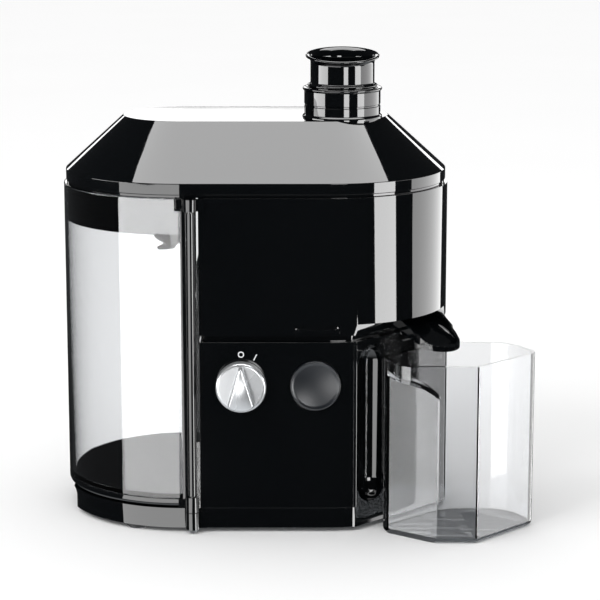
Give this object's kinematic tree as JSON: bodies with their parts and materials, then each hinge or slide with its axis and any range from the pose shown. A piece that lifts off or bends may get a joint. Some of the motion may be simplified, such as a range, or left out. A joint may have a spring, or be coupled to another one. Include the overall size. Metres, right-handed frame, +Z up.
{
  "type": "centrifugal juicer",
  "caption": "Centrifugal juicer: stadium-shaped gloss black body, bevelled lid with feed chute, swing-out clear pulp container and a clear juice jug under the spout.",
  "frame": {"origin": "middle of the footprint of the whole object, jug included, on the surface it stands on", "axes": "+Z up, front faces -Y, the jug and spout are towards +X"},
  "size_m": [0.3056, 0.185, 0.301],
  "materials": {
    "gloss_black": "high gloss, injection moulded",
    "satin_black": "fine satin",
    "rubber": "matt",
    "screw_steel": "zinc plated",
    "print_white": "printed",
    "lamination": "stacked steel sheet",
    "copper": "enamelled wire",
    "cast_alloy": "die cast",
    "bronze": "sintered",
    "brass": "pressed",
    "carbon": "graphite",
    "capacitor_yellow": "moulded case",
    "inner_plastic": "moulded",
    "white_plastic": "moulded",
    "shaft_steel": "ground",
    "spring_steel": "bright",
    "stainless": "pressed stainless sheet",
    "clear_smoke": "clear, faintly smoky",
    "clear": "clear",
    "silver": "metallised satin silver"
  },
  "bodies": {
    "housing": {"base_plate": "gloss_black", "foot_pads": "rubber", "base_screws": "screw_steel", "motor_housing": "gloss_black", "front_panel": "gloss_black", "dial_marks": "print_white", "cord_gland": "rubber", "motor_stator": "lamination", "field_coils": "copper", "lower_motor_bracket": "cast_alloy", "upper_motor_bracket": "cast_alloy", "lower_bush": "bronze", "upper_bush": "bronze", "motor_bolts": "screw_steel", "rubber_mounts": "rubber", "brush_holders": "brass", "carbon_brushes": "carbon", "suppression_capacitor": "capacitor_yellow", "shaft_seal": "rubber", "juice_collector": "gloss_black", "juice_spout": "gloss_black", "hinge_top_bracket": "gloss_black", "hinge_pin": "shaft_steel", "latch_spring": "spring_steel", "switch_body": "inner_plastic", "button_guide": "inner_plastic", "button_spring": "spring_steel", "interlock_switch": "inner_plastic"},
    "drum": {"motor_shaft": "shaft_steel", "cooling_fan": "inner_plastic", "rotor_core": "lamination", "rotor_windings": "copper", "commutator": "copper", "drive_coupling": "inner_plastic", "basket_hub": "white_plastic", "grater_disc": "stainless", "basket_sieve": "stainless", "basket_rim": "white_plastic"},
    "lid": {"lid_cover": "gloss_black", "feed_chute": "gloss_black"},
    "pusher": {"pusher": "gloss_black"},
    "container": {"pulp_container": "clear_smoke", "container_hinge_strip": "gloss_black", "container_tray": "gloss_black", "container_collar": "gloss_black"},
    "jug": {"juice_jug": "clear"},
    "knob": {"knob": "silver", "knob_pointer": "silver", "knob_shaft": "inner_plastic", "switch_cam": "inner_plastic"},
    "button": {"release_button": "satin_black", "button_stem": "inner_plastic"},
    "latch": {"latch_tab": "gloss_black"}
  },
  "joints": [
    {"name": "lid_lift", "type": "slide", "parent": "housing", "child": "lid", "axis": [0, 0, 1], "range_m": [0, 0.12]},
    {"name": "pusher_slide", "type": "slide", "parent": "lid", "child": "pusher", "axis": [0, 0, 1], "range_m": [0, 0.1]},
    {"name": "drum_spin", "type": "hinge", "parent": "housing", "child": "drum", "pos_m": [0.01916, 0.0125, 0], "axis": [0, 0, 1], "continuous": true},
    {"name": "container_swing", "type": "hinge", "parent": "housing", "child": "container", "pos_m": [-0.06664, -0.0695, 0], "axis": [0, 0, 1], "range_deg": [0, 90]},
    {"name": "jug_slide", "type": "slide", "parent": "housing", "child": "jug", "axis": [0.7071, -0.7071, 0], "range_m": [0, 0.09]},
    {"name": "knob_turn", "type": "hinge", "parent": "housing", "child": "knob", "pos_m": [-0.03514, -0.0675, 0.097], "axis": [0, 1, 0], "range_deg": [0, 27]},
    {"name": "button_press", "type": "slide", "parent": "housing", "child": "button", "axis": [0, 1, 0], "range_m": [0, 0.003], "stiffness_N_per_m": 600, "springref_m": -0.002},
    {"name": "latch_press", "type": "slide", "parent": "housing", "child": "latch", "axis": [0, 1, 0], "range_m": [0, 0.0022], "stiffness_N_per_m": 600, "springref_m": -0.002}
  ]
}
